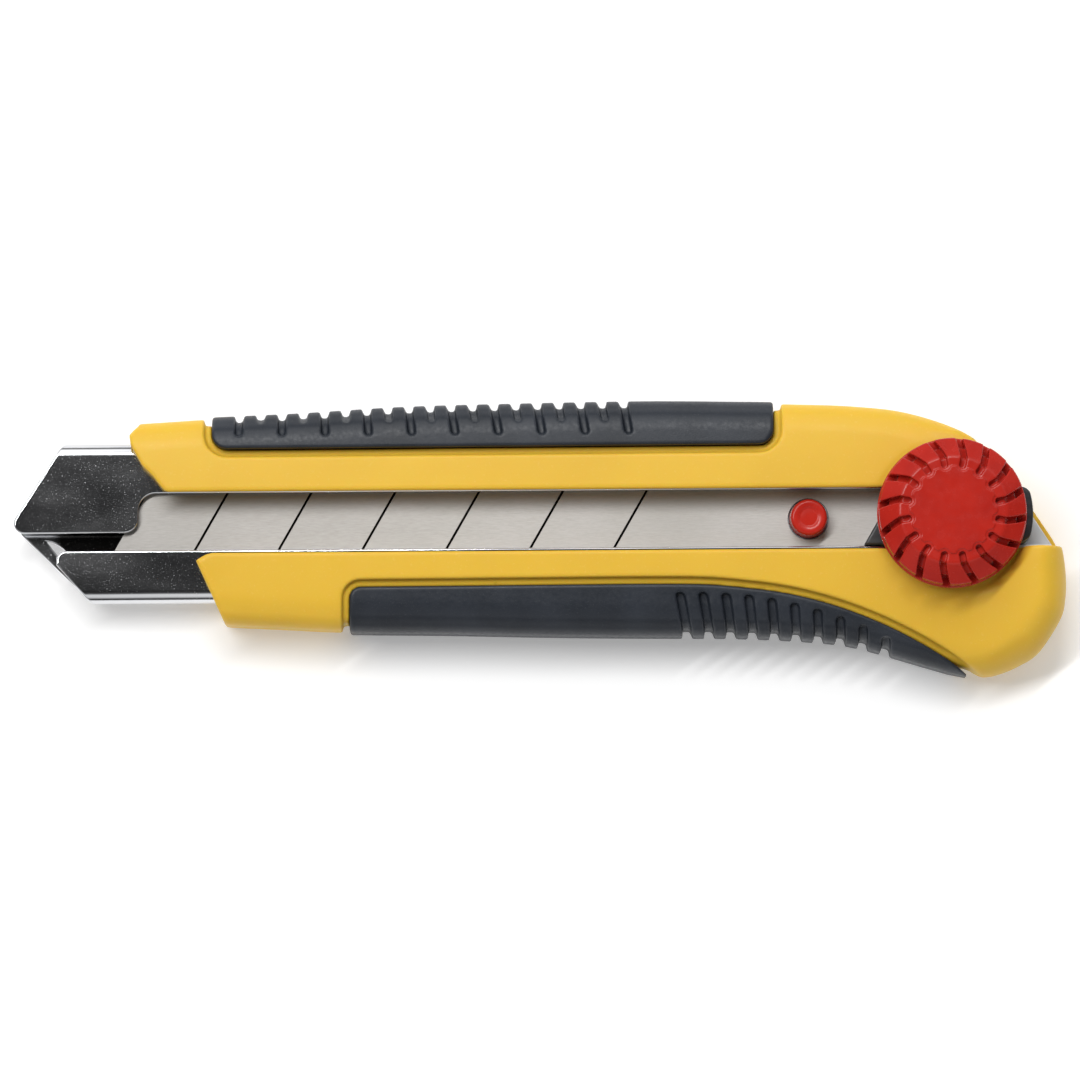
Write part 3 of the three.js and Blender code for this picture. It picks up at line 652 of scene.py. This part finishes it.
def blade():
    """Front and back faces on a slanted grid, with a V groove at each score and a ground edge."""
    edge_width, groove_half, groove_depth = 3.4, 0.23, 0.34
    centre = (BLADE_FRONT + BLADE_BACK) / 2
    columns = [(0.0, 0.0)]
    for i in range(SCORES):
        at = FIRST_SEGMENT + i * SEGMENT
        columns += [(at - groove_half, 0.0), (at, groove_depth), (at + groove_half, 0.0)]
    columns.append((BLADE_REAR - BLADE_TIP, 0.0))
    strip_half = BLADE_FRONT - centre
    rows = [(BLADE_LOW, 0.03), (BLADE_LOW + edge_width, strip_half), (BLADE_HIGH, strip_half)]
    front, back = [], []
    for along, sunk in columns:
        for y, half in rows:
            x = BLADE_TIP + along + (y - BLADE_LOW) * SLANT
            front.append([x, y, centre + max(half - sunk, 0.0)])
            back.append([x, y, centre - half])
    count = len(rows)
    base = len(front)
    faces = []
    for c in range(len(columns) - 1):
        for r in range(count - 1):
            a, b = c * count + r, (c + 1) * count + r
            faces.append([a, b, b + 1, a + 1])
            faces.append([base + a, base + a + 1, base + b + 1, base + b])
        low_a, low_b = c * count, (c + 1) * count
        faces.append([base + low_a, base + low_b, low_b, low_a])
        high_a, high_b = low_a + count - 1, low_b + count - 1
        faces.append([high_a, high_b, base + high_b, base + high_a])
    last = (len(columns) - 1) * count
    for r in range(count - 1):
        faces.append([r, r + 1, base + r + 1, base + r])
        faces.append([last + r + 1, last + r, base + last + r, base + last + r + 1])
    piece = add_mesh("blade_strip", front + back, faces, smooth=False)
    pin_x, pin_y = ((middle("blade_pin") - ORIGIN) / MM)[:2]
    radius, above = 3.45, 20
    hole = turned("pin_hole", [[0, 0], [radius, 0], [radius, above], [0, above]], pin_x, pin_y, 64)
    bore = piece.modifiers.new("bore", "BOOLEAN")
    bore.object = hole
    bore.operation = "DIFFERENCE"
    apply_modifiers(piece)
    bpy.data.objects.remove(hole)
    return piece


# ---- Materials ----
class Finish:
    """A Principled material and the few node chains that these finishes are made of."""

    def __init__(self, name, colour, roughness, **sockets):
        self.material = bpy.data.materials.new(name)
        self.material.use_nodes = True
        self.tree = self.material.node_tree
        self.shader = self.tree.nodes["Principled BSDF"]
        self.shader.inputs["Base Color"].default_value = (*colour, 1)
        self.shader.inputs["Roughness"].default_value = roughness
        for socket, value in sockets.items():
            self.shader.inputs[socket.replace("_", " ")].default_value = value
        coordinates = self.tree.nodes.new("ShaderNodeTexCoord")
        self.place, self.facing = coordinates.outputs["Object"], coordinates.outputs["Normal"]
        self.normal = None

    def node(self, kind, **settings):
        made = self.tree.nodes.new(kind)
        for name, value in settings.items():
            if name in made.inputs:
                made.inputs[name].default_value = value
            else:
                setattr(made, name, value)
        return made

    def join(self, out, into):
        self.tree.links.new(out, into)

    def parts(self, vector):
        """The x, y and z of a vector."""
        made = self.node("ShaderNodeSeparateXYZ")
        self.join(vector, made.inputs["Vector"])
        return made.outputs

    def product(self, first, second, operation="MULTIPLY"):
        made = self.node("ShaderNodeMath", operation=operation)
        self.join(first, made.inputs[0])
        self.join(second, made.inputs[1])
        return made.outputs[0]

    def total(self, first, second):
        return self.product(first, second, "ADD")

    def noise(self, size, detail=3.0, stretch=(1, 1, 1), roughness=0.5):
        """Noise with features about size millimetres across, drawn out by stretch."""
        mapping = self.node("ShaderNodeMapping")
        mapping.inputs["Scale"].default_value = [1 / (size * MM * s) for s in stretch]
        self.join(self.place, mapping.inputs["Vector"])
        made = self.node("ShaderNodeTexNoise", Scale=1.0, Detail=detail, Roughness=roughness)
        self.join(mapping.outputs["Vector"], made.inputs["Vector"])
        return made.outputs["Fac"]

    def span(self, source, low, high, start=0.3, end=0.7):
        """source, from start to end, stretched over low to high."""
        made = self.node("ShaderNodeMapRange")
        for name, value in (("From Min", start), ("From Max", end), ("To Min", low), ("To Max", high)):
            made.inputs[name].default_value = value
        self.join(source, made.inputs["Value"])
        return made.outputs["Result"]

    def blend(self, factor, first, second):
        """A colour between two, each a colour or a socket."""
        made = self.node("ShaderNodeMix", data_type="RGBA")
        self.join(factor, made.inputs["Factor"])
        for socket, value in ((made.inputs[6], first), (made.inputs[7], second)):
            if isinstance(value, tuple):
                socket.default_value = (*value, 1)
            else:
                self.join(value, socket)
        return made.outputs[2]

    def colour(self, source):
        self.join(source, self.shader.inputs["Base Color"])

    def roughness(self, source):
        self.join(source, self.shader.inputs["Roughness"])

    def bump(self, source, depth, strength=1.0):
        """Adds a relief depth millimetres deep."""
        made = self.node("ShaderNodeBump", Strength=strength, Distance=depth * MM)
        self.join(source, made.inputs["Height"])
        if self.normal:
            self.join(self.normal, made.inputs["Normal"])
        self.normal = made.outputs["Normal"]
        self.join(self.normal, self.shader.inputs["Normal"])


def yellow_plastic():
    """Satin plastic that lets a little light through, so its shaded parts stay warm."""
    finish = Finish("yellow_plastic", (0.79, 0.5, 0.05), 0.4, Specular_IOR_Level=0.22)
    finish.shader.inputs["Subsurface Weight"].default_value = 0.35
    finish.shader.inputs["Subsurface Radius"].default_value = (1.0, 0.45, 0.1)
    finish.shader.inputs["Subsurface Scale"].default_value = 0.9 * MM
    tone = finish.blend(finish.span(finish.noise(22), 0, 1), (0.81, 0.51, 0.05), (0.76, 0.47, 0.045))
    specks = finish.span(finish.noise(0.45, 2), 0, 0.3, 0.62, 0.72)
    finish.colour(finish.blend(specks, tone, (0.86, 0.58, 0.13)))
    finish.roughness(finish.span(finish.noise(3, 5), 0.36, 0.45))
    finish.bump(finish.noise(0.3, 2), 0.012)
    finish.bump(finish.noise(6, 2), 0.05, 0.5)
    return finish.material


def black_rubber():
    finish = Finish("black_rubber", (0.022, 0.026, 0.033), 0.5, Specular_IOR_Level=0.32)
    tone = finish.blend(finish.span(finish.noise(9, 4), 0, 1), (0.014, 0.0175, 0.024), (0.025, 0.03, 0.04))
    dust = finish.span(finish.noise(0.18, 2), 0, 0.45, 0.6, 0.75)
    finish.colour(finish.blend(dust, tone, (0.07, 0.075, 0.085)))
    finish.roughness(finish.span(finish.noise(0.6, 3), 0.34, 0.48))
    finish.bump(finish.noise(0.2, 3), 0.012)
    return finish.material


def black_plastic():
    finish = Finish("black_plastic", (0.02, 0.021, 0.023), 0.4)
    finish.colour(finish.blend(finish.noise(4), (0.016, 0.017, 0.019), (0.03, 0.031, 0.034)))
    finish.roughness(finish.span(finish.noise(0.8, 4, (6, 1, 1)), 0.3, 0.5))
    finish.bump(finish.noise(0.5, 4, (5, 1, 1)), 0.012)
    return finish.material


def red_plastic():
    finish = Finish("red_plastic", (0.46, 0.02, 0.012), 0.25, Specular_IOR_Level=0.25)
    cloud = finish.span(finish.noise(5), 0, 1)
    finish.colour(finish.blend(cloud, (0.49, 0.021, 0.012), (0.41, 0.017, 0.011)))
    finish.roughness(finish.span(finish.noise(1.5, 4), 0.2, 0.3))
    finish.bump(finish.noise(0.25, 2), 0.004)
    return finish.material


def polished_steel():
    """Bright sheet with faint rolling marks, painted near-black shade inside behind the nose, and scuffed at
    the open tail.
    """
    finish = Finish("polished_steel", (0.7, 0.71, 0.73), 0.1, Metallic=1.0)
    cloud = finish.span(finish.noise(7, 4, (2, 1, 1)), 0, 1)
    bright = finish.blend(cloud, (0.64, 0.65, 0.67), (0.76, 0.765, 0.78))
    x, _, z = finish.parts(finish.place)
    _, _, upward = finish.parts(finish.facing)
    scuffed = finish.span(x, 0, 1, 74 * MM, 78 * MM)
    # Painted shade: the upward inner face of the back plate behind the nose is coloured near black, standing
    # in for the shade inside the sheath.
    inside = finish.product(finish.span(z, 1, 0, 5.0 * MM, 5.6 * MM), finish.span(upward, 0, 1, 0.5, 0.8))
    behind_nose = finish.span(x, 0, 1, -82 * MM, -80.2 * MM)
    painted_nose_shade = finish.product(finish.product(inside, behind_nose), finish.span(scuffed, 1, 0, 0, 1))
    finish.colour(finish.blend(painted_nose_shade, bright, (0.06, 0.058, 0.056)))
    rolled = finish.span(finish.noise(0.14, 4, (7, 1, 1)), 0, 0.03, 0.45, 0.75)
    pits = finish.span(finish.noise(0.2, 2), 0, 0.2, 0.62, 0.74)
    total = finish.span(cloud, 0.085, 0.135, 0, 1)
    for part in (rolled, pits, finish.span(scuffed, 0, 0.4, 0, 1)):
        total = finish.total(total, part)
    finish.roughness(total)
    finish.bump(finish.noise(0.15, 3, (22, 1, 1)), 0.0012)
    finish.bump(finish.noise(9, 2, (2, 1, 1)), 0.1)
    return finish.material


def blade_steel():
    """Ground strip with a fine lengthwise grain, duller towards the tip, and painted with shade on the flanks
    of its scores.
    """
    finish = Finish("blade_steel", (0.4, 0.385, 0.365), 0.45, Metallic=1.0)
    grain = finish.noise(0.11, 5, (12, 1, 1), 0.7)
    cloud = finish.span(finish.noise(9, 4, (2, 1, 1)), 0, 1)
    tone = finish.blend(cloud, (0.44, 0.425, 0.4), (0.51, 0.49, 0.47))
    ground = finish.blend(finish.span(grain, 0, 0.4), tone, (0.28, 0.265, 0.245))
    x, _, _ = finish.parts(finish.place)
    ground = finish.blend(finish.span(x, 0.7, 0, -75 * MM, -15 * MM), ground, (0.25, 0.24, 0.225))
    # Painted shade: faces that slope sideways, the flanks of each score, are coloured near black, standing in
    # for the shade in the grooves.
    sideways, _, _ = finish.parts(finish.facing)
    painted_score_shade = finish.node("ShaderNodeMath", operation="ABSOLUTE")
    finish.join(sideways, painted_score_shade.inputs[0])
    finish.colour(finish.blend(finish.span(painted_score_shade.outputs[0], 0, 1, 0.3, 0.5), ground, (0.03, 0.026, 0.022)))
    finish.roughness(finish.span(grain, 0.38, 0.55))
    finish.bump(grain, 0.008)
    return finish.material


def plated(name, colour):
    finish = Finish(name, colour, 0.32, Metallic=1.0)
    darker = tuple(0.75 * c for c in colour)
    finish.colour(finish.blend(finish.span(finish.noise(2.5, 4), 0, 1), colour, darker))
    finish.roughness(finish.span(finish.noise(0.5, 4), 0.24, 0.45))
    finish.bump(finish.noise(0.3, 3), 0.006)
    return finish.material


# ---- The knife ----
YELLOW, RUBBER, BLACK, RED = yellow_plastic(), black_rubber(), black_plastic(), red_plastic()
POLISHED, BLADE_STEEL = polished_steel(), blade_steel()
ZINC, BRASS = plated("zinc_steel", (0.55, 0.56, 0.58)), plated("brass", (0.6, 0.42, 0.16))

dress(moulded("handle_moulding", handle_field, (-70, -25, -1), (89, 24, 20), 0.4, 0.5),
      "handle", "yellow_plastic", YELLOW, "handle_body")
dress(moulded("upper_grip_rubber", upper_grip_field, (-56, 14, -1), (41, 24, 15), 0.3, 0.8),
      "handle", "black_rubber", RUBBER, "upper_grip")
dress(moulded("lower_grip_rubber", lower_grip_field, (-34, -25, -1), (73, -7, 16), 0.3, 0.8),
      "handle", "black_rubber", RUBBER, "lower_grip")
dress(sheet_metal("folded_sheath", *sheath_pattern()), "handle", "polished_steel", POLISHED, "blade_sheath")
for node in ("sheath_rivet_front", "sheath_rivet_rear"):
    dress(rivet(node), "handle", "zinc_steel", ZINC, node)
dress(blade(), "slider", "blade_steel", BLADE_STEEL, "snap_off_blade")
dress(pin(), "slider", "red_plastic", RED, "blade_pin")
dress(moulded("slider_carrier", block_field, (50, -10, 5), (83, 17, 16), 0.25),
      "slider", "black_plastic", BLACK, "slider_block")
dress(moulded("wheel_cap", wheel_field, (55, -10.5, 14), (82, 17, 24), 0.16, 0.9),
      "wheel", "red_plastic", RED, "lock_wheel")
for node, material in (("clamp_plate", ZINC), ("lock_stud", ZINC), ("clamp_washer", ZINC),
                       ("wave_washer", BLADE_STEEL), ("wheel_nut", BRASS)):
    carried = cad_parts[node]
    carried.data.materials.clear()
    carried.data.materials.append(material)


# ---- Stage ----
def floor():
    bpy.ops.mesh.primitive_plane_add(size=6, location=(0, 0, -0.0002))
    plane = bpy.context.object
    plane.name = "floor"
    finish = Finish("floor", (0.93, 0.93, 0.93), 0.8, Specular_IOR_Level=0.1, Emission_Strength=0.2)
    finish.shader.inputs["Emission Color"].default_value = (1, 1, 1, 1)
    plane.data.materials.append(finish.material)


def aim(thing, place, target):
    thing.location = place
    thing.rotation_euler = (Vector(target) - Vector(place)).to_track_quat("-Z", "Y").to_euler()


def softbox(name, place, width, depth, power):
    data = bpy.data.lights.new(name, "AREA")
    data.shape = "RECTANGLE"
    data.size, data.size_y, data.energy = width, depth, power
    light = bpy.data.objects.new(name, data)
    SCENE.collection.objects.link(light)
    aim(light, place, (0, 0, 0))


def surroundings():
    """A dim room, darkest overhead, with pale walls beyond the knife's two long sides."""
    world = bpy.data.worlds.new("room")
    SCENE.world = world
    world.use_nodes = True
    nodes, links = world.node_tree.nodes, world.node_tree.links

    def ramp(source, stops):
        """Greys along source. The first two stops are the outermost ones."""
        made = nodes.new("ShaderNodeValToRGB")
        links.new(source, made.inputs["Fac"])
        for i, (place, shade) in enumerate(stops):
            stop = made.color_ramp.elements[i] if i < 2 else made.color_ramp.elements.new(place)
            stop.position, stop.color = place, (shade, shade, shade, 1)
        return made.outputs["Color"]

    place = nodes.new("ShaderNodeTexCoord")
    axes = nodes.new("ShaderNodeSeparateXYZ")
    links.new(place.outputs["Generated"], axes.inputs["Vector"])
    halves = nodes.new("ShaderNodeMapRange")
    halves.inputs["From Min"].default_value = -1
    links.new(axes.outputs["Y"], halves.inputs["Value"])
    overhead = ramp(axes.outputs["Z"], [(0.25, 0.15), (0.985, 0.2), (0.45, 1.0), (0.88, 1.0)])
    low_wall = [(0.1, 0.85), (0.22, 0.85), (0.3, 0.2)]
    high_wall = [(0.45, 0.1), (0.6, 0.12), (0.72, 1.1)]
    walls = ramp(halves.outputs["Result"], [(0.03, 0.4), (0.95, 1.5), *low_wall, *high_wall])
    product = nodes.new("ShaderNodeMix")
    product.data_type = "RGBA"
    product.blend_type = "MULTIPLY"
    product.inputs["Factor"].default_value = 1
    links.new(overhead, product.inputs[6])
    links.new(walls, product.inputs[7])
    links.new(product.outputs[2], nodes["Background"].inputs["Color"])
    nodes["Background"].inputs["Strength"].default_value = 1.0


def camera():
    """Almost straight down, from a little below the knife in the picture, with a long lens."""
    elevation, roll, distance, width = 85.0, -0.4, 1.6, 0.18
    centre = ORIGIN + Vector((0, -0.17 * MM, 9 * MM))
    data = bpy.data.cameras.new("camera")
    data.sensor_width = 36
    data.lens = data.sensor_width * distance / width
    data.clip_start, data.clip_end = 0.01, 20
    viewer = bpy.data.objects.new("camera", data)
    SCENE.collection.objects.link(viewer)
    tilt = math.radians(elevation)
    back = Vector((0, -math.cos(tilt), math.sin(tilt)))
    turn = (-back).to_track_quat("-Z", "Y").to_matrix().to_4x4()
    place = Matrix.Translation(centre + back * distance)
    viewer.matrix_world = place @ turn @ Matrix.Rotation(math.radians(roll), 4, "Z")
    SCENE.camera = viewer


floor()
surroundings()
softbox("key_softbox", (-0.4, 0.53, 1.5), 1.5, 0.1, 18.5)
camera()
SCENE.view_settings.view_transform = "Standard"
